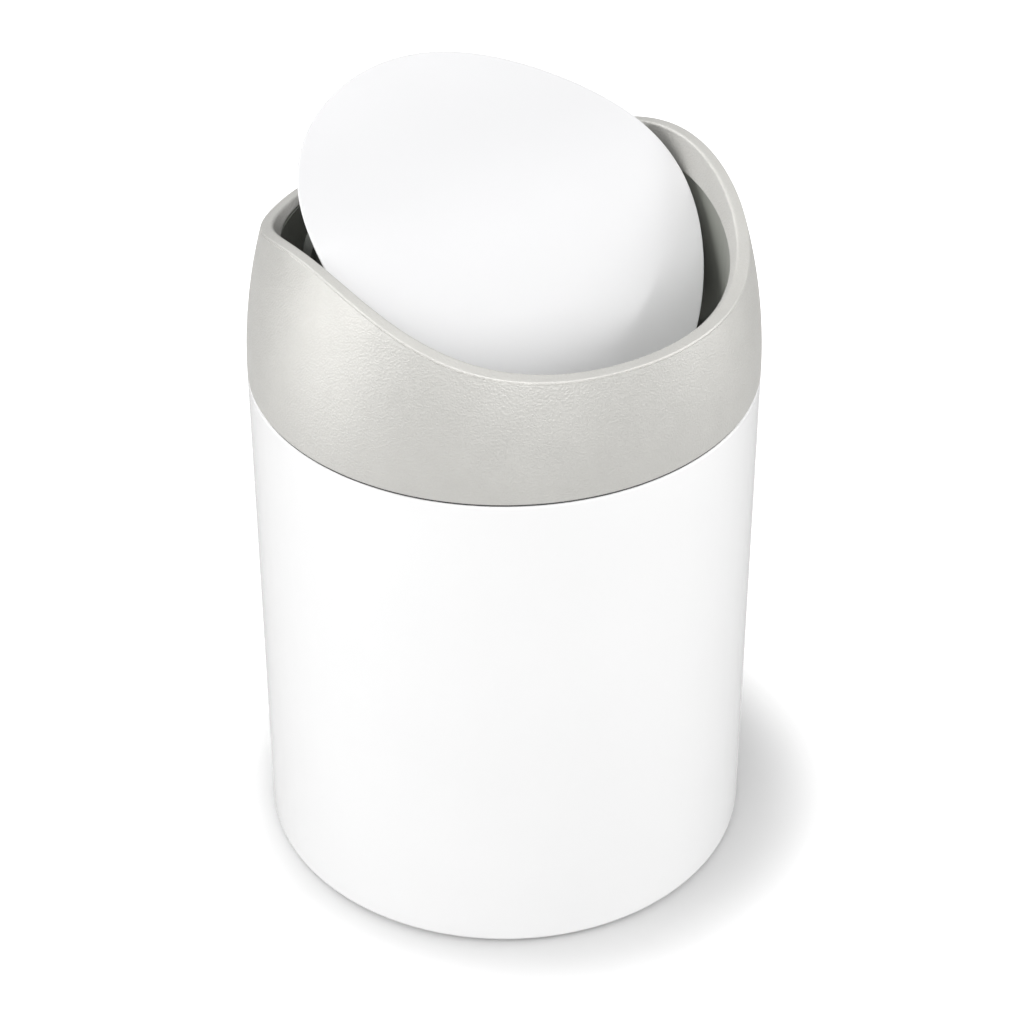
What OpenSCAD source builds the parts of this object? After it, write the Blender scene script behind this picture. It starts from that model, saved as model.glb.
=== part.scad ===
// Countertop trash can with a swing lid, about 1.5 litres.
// A painted steel can stands on a moulded base ring. A moulded collar with a
// saddle-shaped rim plugs into the can's mouth and lifts off to empty it. A
// thin curved lid swings on two pins inside the collar, and two steel weights
// in its side cheeks bring it back level.
// +X runs along the swing axis, -Y is the front, +Z is up, and the origin is
// the middle of the base. The lid is drawn part-way open, its front edge dipped.

/* [Can] */
// Outside diameter of the can
can_d = 126; // [118:1:140]
// Height of the painted shell, from its bottom curl to its top hem
shell_h = 136.1; // [110:0.1:170]
// Thickness of the shell's steel sheet
shell_t = 0.7; // [0.5:0.1:0.9]
// Depth of the folded hem inside the shell's mouth
hem_h = 5; // [3:0.5:8]
// Width of the curl folded in under the shell
curl_w = 2.4; // [2:0.1:3]
// Outside radius of the roll along the shell's bottom edge
roll_r = 1.3; // [1.2:0.1:1.6]
// Gap between the table and the shell's bottom edge
foot_gap = 0.8; // [0.6:0.1:1.4]

/* [Floor] */
// Height of the floor sheet's underside above the shell's bottom curl
floor_rise = 2.1; // [1.8:0.1:4]
// Thickness of the floor's steel sheet
floor_t = 0.6; // [0.4:0.1:0.8]
// Inside radius of the floor's pressed bends
floor_bend_r = 0.5; // [0.3:0.1:0.8]
// Diameter of the raised middle of the floor
dish_d = 92; // [60:1:94]
// Height of the raised middle of the floor
dish_h = 1.8; // [1:0.1:3]
// Width of the sloping step round the raised middle
dish_slope = 3; // [2:0.5:5]

/* [Base ring] */
// Radial width of the base ring
base_w = 11.4; // [10:0.1:14]
// Thickness of the base ring's two walls
base_wall = 1.4; // [1:0.1:1.8]
// Thickness of the base ring's web
base_web = 1.7; // [1.5:0.1:2.2]
// Height of the base ring's underside above the table
base_lift = 0.3; // [0.2:0.05:0.5]
// Number of ribs across the base ring's channel
base_ribs = 12; // [6:1:16]
// Number of hooks that snap over the shell's curl
hooks = 8; // [4:1:10]
// Reach of each hook over the curl
hook_reach = 0.6; // [0.4:0.1:0.8]
// Width of the soft ring that the can stands on
grip_w = 5; // [3:0.5:6]
// Depth that the soft ring sits in its groove
grip_seat = 0.8; // [0.5:0.1:1]

/* [Collar] */
// Height of the rim above the seam at the two high sides
rim_side_h = 45.6; // [43:0.1:52]
// How far the rim sweeps down to the front and the back
rim_drop = 15.3; // [12:0.1:17]
// Radius of the arc that draws the outer wall in towards the rim
wall_arc_r = 139; // [130:1:200]
// Thickness of the collar's outer wall
collar_wall = 2.2; // [1.6:0.1:2.4]
// Thickness of the rim's top at the front and the back
rim_t = 2; // [1.8:0.1:2.4]
// Thickness of the rim's top at the two high sides
rim_side_t = 5.1; // [4.5:0.1:6]
// Height of the inner lip above the seam at the two sides
lip_side_h = 37.4; // [37.2:0.1:38]
// How far the inner lip sweeps down to the front and the back
lip_drop = 8.6; // [8:0.1:9]
// Thickness of the inner face, down to the lip
lip_t = 1.4; // [1:0.1:1.4]
// How far the mouth lies inside the can's outside at the two sides
mouth_side_in = 12.1; // [11.8:0.1:13]
// How far the mouth lies inside the can's outside at the front and the back
mouth_front_in = 7.3; // [7.2:0.1:8]
// Width of the rim's top, from its outer edge to its inner edge
rim_w = 2.7; // [2.4:0.1:3]
// How square the mouth's outline is, where 2 is an ellipse
mouth_square = 2.1; // [2:0.02:2.14]

/* [Collar liner] */
// Depth that the liner's skirt plugs into the can
skirt_h = 16; // [10:0.5:24]
// Thickness of the liner's skirt
skirt_t = 1.6; // [1.2:0.1:2]
// Gap between the skirt and the hem
skirt_gap = 0.3; // [0.2:0.05:0.5]
// Number of upright grip ribs round the skirt
grip_ribs = 8; // [4:1:12]
// Thickness of the liner's shelf
shelf_t = 1.8; // [1.4:0.1:2.2]
// Thickness of the liner's throat wall
throat_t = 1.3; // [1:0.1:1.4]
// Radial width of the seat gasket
gasket_w = 0.9; // [0.6:0.1:1]
// Thickness of the seat gasket, which is the dark line under the collar
gasket_t = 0.5; // [0.4:0.1:0.8]
// How far the gasket's outside lies inside the can's outside
gasket_in = 0.4; // [0.3:0.05:0.5]

/* [Collar screws] */
// Angle of each collar screw from the swing axis
screw_angle = 25; // [22:1:28]
// Distance of each collar screw inside the can's outside
screw_in = 6.1; // [6:0.1:6.2]
// Radius of each screw's shank
screw_r = 1.2; // [1:0.05:1.25]
// Radius of each screw's head
screw_head_r = 2.4; // [2.2:0.05:2.4]
// Height of each screw's head
screw_head_h = 1.6; // [1:0.1:2]
// Length of each screw under its head
screw_l = 10; // [7:0.5:13]
// Radius of each screw boss
screw_boss_r = 2.1; // [1.9:0.05:2.15]
// Height of each screw boss above the seam
screw_boss_h = 16; // [14:0.5:18]

/* [Swing pivot] */
// Height of the swing axis above the seam
pivot_h = 34.5; // [33.5:0.1:34.5]
// Radius of each pivot pin
pin_r = 1.25; // [1:0.05:1.3]
// Running clearance round each pin, on the radius
run_gap = 0.05; // [0.02:0.01:0.08]
// Wall of each bush
bush_wall = 0.95; // [0.8:0.05:1]
// Thickness of each bush's flange
bush_flange_t = 1; // [0.6:0.1:1.1]
// Radius of each bush's flange
bush_flange_r = 2.6; // [2.5:0.05:2.65]
// Length of each bush in its boss
bush_l = 2; // [1.6:0.1:2]
// Radius of the boss that holds each bush
pivot_boss_r = 4.3; // [3.6:0.1:4.4]
// Length of the boss that holds each bush
pivot_boss_l = 2.6; // [2.5:0.1:2.7]
// Radius of each pin's head
pin_head_r = 1.9; // [1.7:0.05:2]
// Thickness of each pin's head
pin_head_t = 0.6; // [0.4:0.1:0.7]
// Radius of each retaining clip
clip_r = 3; // [2.4:0.1:3.4]
// Thickness of each retaining clip
clip_t = 0.6; // [0.4:0.1:0.8]
// How far each pin runs on past its clip
pin_tail = 0.6; // [0.3:0.1:1]

/* [Lid] */
// Gap between the lid and the mouth at the two sides
lid_gap_side = 1; // [0.8:0.1:1.4]
// Gap between the lid and the mouth at the front and the back
lid_gap_front = 1.05; // [0.9:0.05:1.6]
// Thickness of the lid's steel sheet
lid_t = 0.75; // [0.6:0.05:1]
// Height of the lid's crown above the swing axis, with the lid level
lid_rise = 6.05; // [5.8:0.05:6.6]
// How far the lid sweeps down from its crown to its two ends
lid_drop = 10.2; // [8:0.1:11]
// Tilt at which the lid is drawn, front edge dipped
tilt = 34; // [0:1:60]
// Swing each way from level before the lid meets its stops
swing = 80; // [60:1:84]

/* [Lid frame] */
// How far the frame lies inside the lid's edge
frame_in = 2; // [1.5:0.1:3]
// Thickness of the frame's plate
frame_t = 1.4; // [1.2:0.1:1.6]
// Depth of the ribs under the plate
rib_h = 2.2; // [1.4:0.1:2.4]
// Thickness of the ribs
rib_t = 1.2; // [0.8:0.1:1.6]
// Thickness of the rib round the frame's edge
edge_rib_t = 1.5; // [1:0.1:2]
// Distance of the two inner cross ribs from the swing axis
cross_rib_y = 20; // [18:0.5:22]
// Distance of the two outer cross ribs from the swing axis
end_rib_y = 38; // [34:0.5:42]
// Distance of the two long ribs from the middle
long_rib_x = 15; // [10:0.5:18]
// How far the middle rib stops short of the covers
mid_rib_gap = 4; // [3:0.5:8]
// Distance of each stud from the middle, along the swing axis
stud_x = 24; // [20:1:28]
// Distance of each stud from the middle, across the swing axis
stud_y = 26; // [23:1:30]
// Radius of each stud under the lid
stud_r = 1.5; // [1.2:0.1:1.6]
// Radius of the boss round each stud
stud_boss_r = 3.6; // [3.2:0.1:4]
// Depth of each stud boss below the swing axis, with the lid level
stud_boss_z = 3; // [2.8:0.1:4]
// Width across the flats of each nut
nut_w = 5.5; // [5:0.1:6]
// Height of each nut
nut_h = 1.8; // [1.4:0.1:2.4]

/* [Cheeks and weights] */
// How far each cheek's outside lies inside the lid's side
cheek_in = 4.1; // [3.8:0.1:5]
// Radius of each cheek
cheek_r = 17; // [16.5:0.1:18]
// Thickness of each cheek's outer web
cheek_web = 2.4; // [2.2:0.1:3]
// Thickness of each steel weight
weight_t = 3.4; // [2:0.1:4]
// Inner radius of each weight
weight_r0 = 6; // [5.5:0.1:7]
// Outer radius of each weight
weight_r1 = 15.4; // [14:0.1:15.6]
// Angle that each weight spans
weight_arc = 150; // [100:1:150]
// Clearance between each weight and its pocket
weight_gap = 0.15; // [0.1:0.05:0.2]
// Thickness of each weight's cover
cap_t = 1; // [0.8:0.1:1.6]
// Height of each cover's top edge above the swing axis
cap_top = 1.6; // [1.2:0.1:1.8]
// Distance of each cover screw from the swing axis
cap_screw_y = 11; // [9:0.5:12]
// Radius of each cover screw's shank
cap_screw_r = 0.8; // [0.6:0.05:0.9]
// Radius of each cover screw's head
cap_head_r = 1.5; // [1.2:0.1:1.6]
// Height of each cover screw's head
cap_head_h = 0.8; // [0.5:0.1:1]
// Length of each cover screw under its head
cap_screw_l = 5; // [3:0.5:6]

/* [Stops] */
// Distance of each stop peg below the swing axis
peg_drop = 12; // [11:0.5:12.5]
// Radius of each stop peg
peg_r = 1.5; // [1.2:0.1:1.6]
// Clearance between each peg and its groove
peg_gap = 0.2; // [0.15:0.05:0.3]
// Depth that each peg reaches into its groove
peg_reach = 1.2; // [0.8:0.1:1.3]
// Thickness of the gusset under each peg
gusset_t = 1.6; // [1:0.1:2]
// Height of the gusset under each peg
gusset_h = 8; // [5:0.5:12]

/* [Hidden] */

$fn = 96;
arc_fn = 720;              // sides of the large arc that shapes the outer wall
wave_steps = 66;           // stations across each saddle curve
oval_steps = 90;           // corners round each oval
eps = 0.01;
slip = 0.05;               // clearance of a slip fit, on the radius
press = 0.02;              // clearance that stands in for a press fit or a cut thread
ring_gap = 0.2;            // between the base ring and the shell's curl
wall_gap = 0.3;            // between the liner's shelf and the collar
shelf_sink = 0.4;          // how far the shelf lies below the seam, inside the gasket
lip_gap = 0.1;             // between the collar's lip and the liner's throat
lip_under = 0.6;           // the lip follows a lowered rim, at least this far under it
throat_in = 0.2;           // between the liner's throat and the collar's wall at the front and back
shelf_in = 3;              // how far the shelf runs in past the mouth at the sides
rim_flat = 2.5;            // width of the level stretch where the rim is lowest
gusset_gap = 2.5;          // between the gussets and the cheeks

can_r = can_d / 2;
hem_r = can_r - 2 * shell_t;                    // inside of the hem
shell_top = foot_gap + shell_h;
seam_z = shell_top + gasket_t;
pivot_z = seam_z + pivot_h;
half_cut = can_r + 3;                           // half size of the cutting prisms

floor_z = foot_gap + shell_t + floor_rise;      // underside of the floor sheet
floor_r = can_r - shell_t - slip;               // outside of the floor's flange
curl_r = can_r - curl_w;                        // inside of the curl
base_r1 = curl_r - ring_gap;
base_r0 = base_r1 - base_w;
base_mid_r = (base_r0 + base_r1) / 2;

rim_reach = can_r - rim_flat;                   // where the rim is lowest
rim_low_h = rim_side_h - rim_drop;
lip_low_h = min(lip_side_h - lip_drop, rim_low_h - lip_under);
lip_sweep = lip_side_h - lip_low_h;
mouth_a = can_r - mouth_side_in;
mouth_b = can_r - mouth_front_in;
throat_a = mouth_a + lip_t + lip_gap;
throat_b = wall_r(lip_low_h) - collar_wall - throat_in - throat_t;
liner_top = seam_z + lip_side_h - lip_gap;      // top of the throat at the two sides
bush_seat_x = throat_a - lip_gap;               // face that each bush's flange rests on
skirt_r = hem_r - skirt_gap;
shelf_bottom = seam_z - shelf_sink;
shelf_top = shelf_bottom + shelf_t;
screw_pcr = can_r - screw_in;

lid_a = mouth_a - lid_gap_side;
lid_b = mouth_b - lid_gap_front;
plate_top = lid_rise - lid_t;                   // height of the frame's plate at the crown
plate_bottom = plate_top - frame_t;
cheek_x1 = lid_a - cheek_in;                    // outside of each cheek
cheek_x0 = cheek_x1 - cheek_web - weight_t - weight_gap;
cap_x0 = cheek_x0 - cap_t;
bush_r = pin_r + run_gap + bush_wall;
pin_x0 = cap_x0 - clip_t - pin_tail;
pin_head_x = bush_seat_x + bush_l + 0.1;
peg_x0 = cheek_x1 - peg_reach;
gusset_x0 = cheek_x1 + gusset_gap;
rib_cut_h = 2 * (lid_drop + 10);                // height of the slabs that the ribs are cut from

paint_white = [0.96, 0.96, 0.96];
stone_grey = [0.80, 0.79, 0.77];
shadow_grey = [0.47, 0.48, 0.46];
dark_rubber = [0.16, 0.16, 0.17];
steel = [0.70, 0.71, 0.73];
nylon = [0.90, 0.89, 0.85];

// ---- shared shapes ----

// Height lost at y along a saddle curve: a raised cosine, flat at the crown and at its reach.
function wave(y, drop, reach) = drop * (1 - cos(180 * min(abs(y), reach) / reach)) / 2;

// Points along an arc of a profile, from angle a0 to angle a1.
function arc(x, y, r, a0, a1, steps = 6) =
    [for (i = [0 : steps])
        let (a = a0 + (a1 - a0) * i / steps)
        [x + r * cos(a), y + r * sin(a)]];

// Everything under a saddle curve that runs level along X.
module under_wave(crown_z, drop, reach, bottom_z) {
    rotate([90, 0, 90])
        linear_extrude(2 * half_cut, center = true)
            polygon(concat(
                [[-half_cut, bottom_z]],
                [for (i = [0 : wave_steps])
                    let (y = half_cut * (2 * i / wave_steps - 1))
                    [y, crown_z - wave(y, drop, reach)]],
                [[half_cut, bottom_z]]));
}

// Outline of an oval with half-widths a along X and b along Y.
module oval(a, b) {
    polygon([for (i = [0 : oval_steps - 1]) [a * cos(360 * i / oval_steps), b * sin(360 * i / oval_steps)]]);
}

// Upright prism with an oval outline.
module oval_prism(a, b, z0, z1) {
    translate([0, 0, z0])
        linear_extrude(z1 - z0)
            oval(a, b);
}

// Round solid inside the collar's outer wall, drawn in along one large arc.
module barrel(inset, z0) {
    rotate_extrude()
        intersection() {
            translate([can_r - wall_arc_r, seam_z])
                circle(wall_arc_r - inset, $fn = arc_fn);
            translate([0, z0])
                square([can_r + 1, seam_z + rim_side_h + 2 - z0]);
        }
}

// Radius of the collar's outer wall at a height above the seam.
function wall_r(z) = can_r - wall_arc_r + sqrt(wall_arc_r * wall_arc_r - z * z);

// Distance from the middle to the lip, in one direction: an oval a little squarer than an ellipse.
function lip_r(turn) =
    pow(pow(abs(cos(turn)) / mouth_a, mouth_square) + pow(abs(sin(turn)) / mouth_b, mouth_square),
        -1 / mouth_square);
function lip_z(turn) = lip_side_h - wave(lip_r(turn) * sin(turn), lip_sweep, rim_reach);

// Height of the rim's inner edge, in one direction, closed in on from a first guess.
function rim_z(turn, z, tries = 8) =
    tries == 0 ? z
               : rim_z(turn, rim_side_h - wave((wall_r(z) - rim_w) * sin(turn), rim_drop, rim_reach),
                       tries - 1);

// The mouth's space: upright up to the lip, widening to the rim's inner edge, upright above.
// It is grown by the thickness of the inner face where asked.
module mouth(grow) {
    turns = [for (i = [0 : oval_steps - 1]) 360 * i / oval_steps];
    rings = [
        [for (t = turns) [lip_r(t), lip_low_h - 2]],
        [for (t = turns) [lip_r(t), lip_z(t)]],
        [for (t = turns) let (z = rim_z(t, rim_side_h)) [wall_r(z) - rim_w, z]],
        [for (t = turns) let (z = rim_z(t, rim_side_h)) [wall_r(z) - rim_w, rim_side_h + 2]]];
    n = oval_steps;
    polyhedron(
        points = [for (ring = rings) for (i = [0 : n - 1])
            [(ring[i][0] + grow) * cos(turns[i]), (ring[i][0] + grow) * sin(turns[i]),
             seam_z + ring[i][1]]],
        faces = concat(
            [[for (i = [0 : n - 1]) i]],
            [[for (i = [0 : n - 1]) 4 * n - 1 - i]],
            [for (k = [0 : 2]) for (i = [0 : n - 1])
                [k * n + i, (k + 1) * n + i, (k + 1) * n + (i + 1) % n]],
            [for (k = [0 : 2]) for (i = [0 : n - 1])
                [k * n + i, (k + 1) * n + (i + 1) % n, k * n + (i + 1) % n]]));
}

// Puts its children on the swing axis, turned from level by the tilt.
module on_lid() {
    translate([0, 0, pivot_z])
        rotate([tilt, 0, 0])
            children();
}

// Puts its children on the left (-1) or the right (+1) side.
module on_side(side) {
    mirror([side < 0 ? 1 : 0, 0, 0])
        children();
}

// Round bar along X, from x0 to x1, at a height above the swing axis.
module x_bar(r, x0, x1, y = 0, z = 0) {
    translate([x0, y, z])
        rotate([0, 90, 0])
            cylinder(r = r, h = x1 - x0);
}

// Arc-shaped bar round the swing axis, centred straight below it.
module x_arc(r0, r1, x0, x1, span) {
    rotate([90, 0, 90])
        rotate([0, 0, 270 - span / 2])
            rotate_extrude(angle = span)
                translate([r0, x0])
                    square([r1 - r0, x1 - x0]);
}

// ---- can ----

// Drawn steel tube, hemmed at the mouth and curled in under its bottom edge.
module body_shell() {
    color(paint_white)
        rotate_extrude()
            polygon(concat(
                [[curl_r, foot_gap]],
                arc(can_r - roll_r, foot_gap + roll_r, roll_r, -90, 0),
                arc(can_r - shell_t, shell_top - shell_t, shell_t, 0, 180, 12),
                [[hem_r, shell_top - hem_h], [can_r - shell_t, shell_top - hem_h]],
                arc(can_r - roll_r, foot_gap + roll_r, roll_r - shell_t, 0, -90),
                [[curl_r, foot_gap + shell_t]]));
}

// Pressed steel floor: its flange turns down and stands on the curl, and its middle is raised.
module body_floor() {
    dish_r = dish_d / 2;
    bend_x = floor_r - floor_t - floor_bend_r;
    bend_z = floor_z - floor_bend_r;
    foot_z = foot_gap + shell_t + slip;
    color(steel)
        rotate_extrude()
            difference() {
                polygon(concat(
                    [[0, floor_z + dish_h], [dish_r, floor_z + dish_h], [dish_r + dish_slope, floor_z]],
                    arc(bend_x, bend_z, floor_bend_r, 90, 0),
                    [[floor_r - floor_t, foot_z], [floor_r, foot_z]],
                    arc(bend_x, bend_z, floor_bend_r + floor_t, 0, 90),
                    [[dish_r + dish_slope, floor_z + floor_t],
                     [dish_r, floor_z + dish_h + floor_t], [0, floor_z + dish_h + floor_t]]));
                polygon(concat(
                    [[can_r, foot_gap]],
                    [[can_r - roll_r, foot_gap]],
                    arc(can_r - roll_r, foot_gap + roll_r, roll_r - shell_t - slip, -90, 0),
                    [[can_r, foot_gap + roll_r]]));
            }
}

// Moulded channel under the floor, ribbed across, with hooks that snap over the curl.
module base_ring() {
    web_top = base_lift + base_web;
    hook_z = foot_gap + shell_t + 0.1;
    color(shadow_grey)
        difference() {
            union() {
                rotate_extrude()
                    polygon([
                        [base_r0, base_lift], [base_r1, base_lift], [base_r1, floor_z],
                        [base_r1 - base_wall, floor_z], [base_r1 - base_wall, web_top],
                        [base_r0 + base_wall, web_top], [base_r0 + base_wall, floor_z],
                        [base_r0, floor_z]]);
                for (i = [0 : base_ribs - 1])
                    rotate([0, 0, 360 * i / base_ribs])
                        translate([base_r0 + base_wall / 2, -rib_t / 2, base_lift + base_web / 2])
                            cube([base_w - base_wall, rib_t, floor_z - base_lift - base_web / 2]);
                for (i = [0 : hooks - 1])
                    rotate([0, 0, 360 * (i + 0.5) / hooks - 4])
                        rotate_extrude(angle = 8)
                            polygon([
                                [base_r1 - base_wall / 2, hook_z], [curl_r + hook_reach, hook_z],
                                [curl_r + 0.1, floor_z - 0.1], [base_r1 - base_wall / 2, floor_z - 0.1]]);
            }
            translate([0, 0, base_lift - eps])
                difference() {
                    cylinder(r = base_mid_r + grip_w / 2 + slip, h = grip_seat + eps);
                    translate([0, 0, -eps])
                        cylinder(r = base_mid_r - grip_w / 2 - slip, h = grip_seat + 3 * eps);
                }
        }
}

// Soft ring let into the base ring: the face that the can stands on.
module non_slip_ring() {
    color(dark_rubber)
        rotate_extrude()
            translate([base_mid_r - grip_w / 2, 0])
                square([grip_w, base_lift + grip_seat]);
}

// ---- collar ----

// Screw boss hanging in the collar's hollow, tied to the outer wall by a web.
module collar_boss(angle) {
    boss_z = shelf_top + slip;
    rotate([0, 0, angle])
        translate([screw_pcr, 0, boss_z])
            cylinder(r = screw_boss_r, h = seam_z + screw_boss_h - boss_z);
    intersection() {
        rotate([0, 0, angle])
            translate([screw_pcr, -rib_t / 2, boss_z])
                cube([can_r - screw_pcr, rib_t, seam_z + screw_boss_h - boss_z]);
        barrel(collar_wall / 2, seam_z);
    }
}

// Places its children at the four collar screws.
module at_collar_screws() {
    for (angle = [screw_angle, 180 - screw_angle, 180 + screw_angle, -screw_angle])
        rotate([0, 0, angle])
            translate([screw_pcr, 0, 0])
                children();
}

// Moulded collar: curved outer wall, saddle-shaped rim of even width, and an inner face that
// leans in from the rim down to a thin lip.
module collar() {
    color(stone_grey)
        difference() {
            union() {
                difference() {
                    intersection() {
                        barrel(0, seam_z);
                        under_wave(seam_z + rim_side_h, rim_drop, rim_reach, seam_z - 1);
                    }
                    mouth(0);
                    difference() {
                        intersection() {
                            barrel(collar_wall, seam_z - 1);
                            under_wave(seam_z + rim_side_h - rim_side_t,
                                       rim_drop - rim_side_t + rim_t, rim_reach, seam_z - 2);
                        }
                        mouth(lip_t);
                    }
                    intersection() {
                        barrel(collar_wall, seam_z - 1);
                        under_wave(seam_z + lip_side_h, lip_sweep, rim_reach, seam_z - 2);
                    }
                }
                for (angle = [screw_angle, 180 - screw_angle, 180 + screw_angle, -screw_angle])
                    collar_boss(angle);
            }
            at_collar_screws()
                translate([0, 0, seam_z])
                    cylinder(r = screw_r + press, h = screw_l + 1);
        }
}

// Liner inside the collar: plug skirt, shelf, oval throat, pivot bosses and stop pegs.
module collar_liner() {
    color(shadow_grey)
        difference() {
            union() {
                difference() {
                    union() {
                        rotate_extrude()
                            polygon([
                                [skirt_r - skirt_t, seam_z - skirt_h], [skirt_r - 0.4, seam_z - skirt_h],
                                [skirt_r, seam_z - skirt_h + 1], [skirt_r, seam_z - wall_gap],
                                [can_r - collar_wall - wall_gap, seam_z - wall_gap],
                                [can_r - collar_wall - wall_gap, shelf_top],
                                [mouth_a - shelf_in, shelf_top],
                                [mouth_a - shelf_in, shelf_bottom],
                                [skirt_r - skirt_t, shelf_bottom]]);
                        intersection() {
                            oval_prism(throat_a + throat_t, throat_b + throat_t,
                                       shelf_bottom, seam_z + lip_side_h);
                            under_wave(liner_top, lip_sweep, rim_reach, seam_z - 2);
                        }
                    }
                    oval_prism(throat_a, throat_b, seam_z - 2, seam_z + lip_side_h + 1);
                }
                for (side = [-1, 1])
                    on_side(side) {
                        intersection() {
                            translate([0, 0, pivot_z])
                                x_bar(pivot_boss_r, bush_seat_x, throat_a + pivot_boss_l);
                            under_wave(liner_top, lip_sweep, rim_reach, seam_z);
                        }
                        translate([0, 0, pivot_z]) {
                            x_bar(peg_r, peg_x0, throat_a + throat_t / 2, 0, -peg_drop);
                            translate([gusset_x0, -gusset_t / 2, -peg_drop - gusset_h])
                                cube([throat_a + throat_t / 2 - gusset_x0, gusset_t, gusset_h]);
                        }
                        translate([throat_a + throat_t / 2, -rib_t / 2, shelf_top - shelf_t / 2])
                            cube([pivot_boss_l - throat_t / 2, rib_t, pivot_z - shelf_top]);
                    }
                for (i = [0 : grip_ribs - 1])
                    rotate([0, 0, 360 * (i + 0.5) / grip_ribs])
                        translate([skirt_r - 0.5, -rib_t / 2, seam_z - skirt_h + 2])
                            cube([0.5 + skirt_gap - 0.1, rib_t, skirt_h - 4]);
            }
            for (side = [-1, 1])
                on_side(side)
                    translate([0, 0, pivot_z])
                        x_bar(bush_r + press, throat_a - 2, throat_a + pivot_boss_l + 1);
            at_collar_screws()
                translate([0, 0, shelf_bottom - 1])
                    cylinder(r = screw_r + 0.3, h = shelf_t + 2);
        }
}

// Thin soft ring between the collar and the hem.
module seat_gasket() {
    color(dark_rubber)
        rotate_extrude()
            translate([can_r - gasket_in - gasket_w, shell_top])
                square([gasket_w, gasket_t]);
}

// Pan-head screws, driven up through the shelf into the collar's bosses.
module collar_screws() {
    color(steel)
        at_collar_screws()
            translate([0, 0, shelf_bottom - screw_head_h])
                difference() {
                    union() {
                        cylinder(r = screw_head_r, h = screw_head_h);
                        translate([0, 0, screw_head_h])
                            cylinder(r = screw_r, h = screw_l);
                    }
                    for (turn = [0, 90])
                        rotate([0, 0, turn])
                            translate([-screw_head_r * 0.6, -0.3, -eps])
                                cube([screw_head_r * 1.2, 0.6, screw_head_h * 0.6]);
                }
}

// Flanged bush for one pivot pin.
module pivot_bush(side) {
    color(nylon)
        on_side(side)
            translate([0, 0, pivot_z])
                difference() {
                    union() {
                        x_bar(bush_flange_r, bush_seat_x - bush_flange_t, bush_seat_x);
                        x_bar(bush_r, bush_seat_x - eps, bush_seat_x + bush_l);
                    }
                    x_bar(pin_r + run_gap, bush_seat_x - bush_flange_t - 1, bush_seat_x + bush_l + 1);
                }
}

// ---- lid, in its own level frame on the swing axis ----

// Layer of the curved lid between two depths under its crown, inside an oval.
module lid_layer(top_z, bottom_z, inset) {
    intersection() {
        difference() {
            under_wave(top_z, lid_drop, lid_b, -lid_drop - 12);
            under_wave(bottom_z, lid_drop, lid_b, -lid_drop - 14);
        }
        oval_prism(lid_a - inset, lid_b - inset, -lid_drop - 10, lid_rise + 1);
    }
}

// Places its children at the four studs under the lid.
module at_studs() {
    for (x = [-stud_x, stud_x])
        for (y = [-stud_y, stud_y])
            translate([x, y, 0])
                children();
}

// Curved painted sheet with four studs welded under it.
module lid_panel() {
    stud_top = lid_rise - lid_t / 2 - wave(stud_y, lid_drop, lid_b);
    stud_end = -stud_boss_z - nut_h - 0.8;
    color(paint_white)
        on_lid() {
            lid_layer(lid_rise, lid_rise - lid_t, 0);
            at_studs()
                translate([0, 0, stud_end])
                    cylinder(r = stud_r, h = stud_top - stud_end);
        }
}

// Outline of one cheek, thickened along X.
module cheek_disc(r, x0, x1, top_z) {
    intersection() {
        x_bar(r, x0, x1);
        translate([x0 - 1, -r - 1, -r - 1])
            cube([x1 - x0 + 2, 2 * r + 2, r + 1 + top_z]);
    }
}

// Ribs under the frame's plate: one round the edge, the rest across and along.
module frame_ribs() {
    difference() {
        lid_layer(plate_bottom + frame_t / 2, plate_bottom - rib_h, frame_in);
        oval_prism(lid_a - frame_in - edge_rib_t, lid_b - frame_in - edge_rib_t,
                   -lid_drop - 11, lid_rise + 2);
    }
    intersection() {
        lid_layer(plate_bottom + frame_t / 2, plate_bottom - rib_h, frame_in + edge_rib_t / 2);
        union() {
            for (y = [-end_rib_y, -cross_rib_y, cross_rib_y, end_rib_y])
                translate([-lid_a, y - rib_t / 2, -rib_cut_h / 2])
                    cube([2 * lid_a, rib_t, rib_cut_h]);
            for (x = [-long_rib_x, long_rib_x])
                translate([x - rib_t / 2, -lid_b, -rib_cut_h / 2])
                    cube([rib_t, 2 * lid_b, rib_cut_h]);
            translate([-cap_x0 + mid_rib_gap, -rib_t / 2, -rib_cut_h / 2])
                cube([2 * (cap_x0 - mid_rib_gap), rib_t, rib_cut_h]);
        }
    }
}

// One cheek: half disc with a pin hub, a weight pocket and a stop groove.
module frame_cheek() {
    difference() {
        intersection() {
            x_bar(cheek_r, cheek_x0, cheek_x1);
            under_wave(plate_bottom + frame_t / 2, lid_drop, lid_b, -lid_drop - 20);
        }
        x_arc(weight_r0 - weight_gap, weight_r1 + weight_gap, cheek_x0 - 1,
              cheek_x0 + weight_t + weight_gap, weight_arc + 3);
        x_bar(pin_r + press, cheek_x0 - 1, cheek_x1 + 1);
        x_arc(peg_drop - peg_r - peg_gap, peg_drop + peg_r + peg_gap,
              peg_x0 - peg_gap, cheek_x1 + 1, 2 * swing + 1);
        for (end = [-1, 1])
            rotate([end * (swing + 0.5), 0, 0])
                x_bar(peg_r + peg_gap, peg_x0 - peg_gap, cheek_x1 + 1, 0, -peg_drop);
        for (y = [-cap_screw_y, cap_screw_y])
            x_bar(cap_screw_r + press, cheek_x0 - 1, cheek_x0 + cap_screw_l - cap_t + 0.3, y);
    }
}

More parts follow.
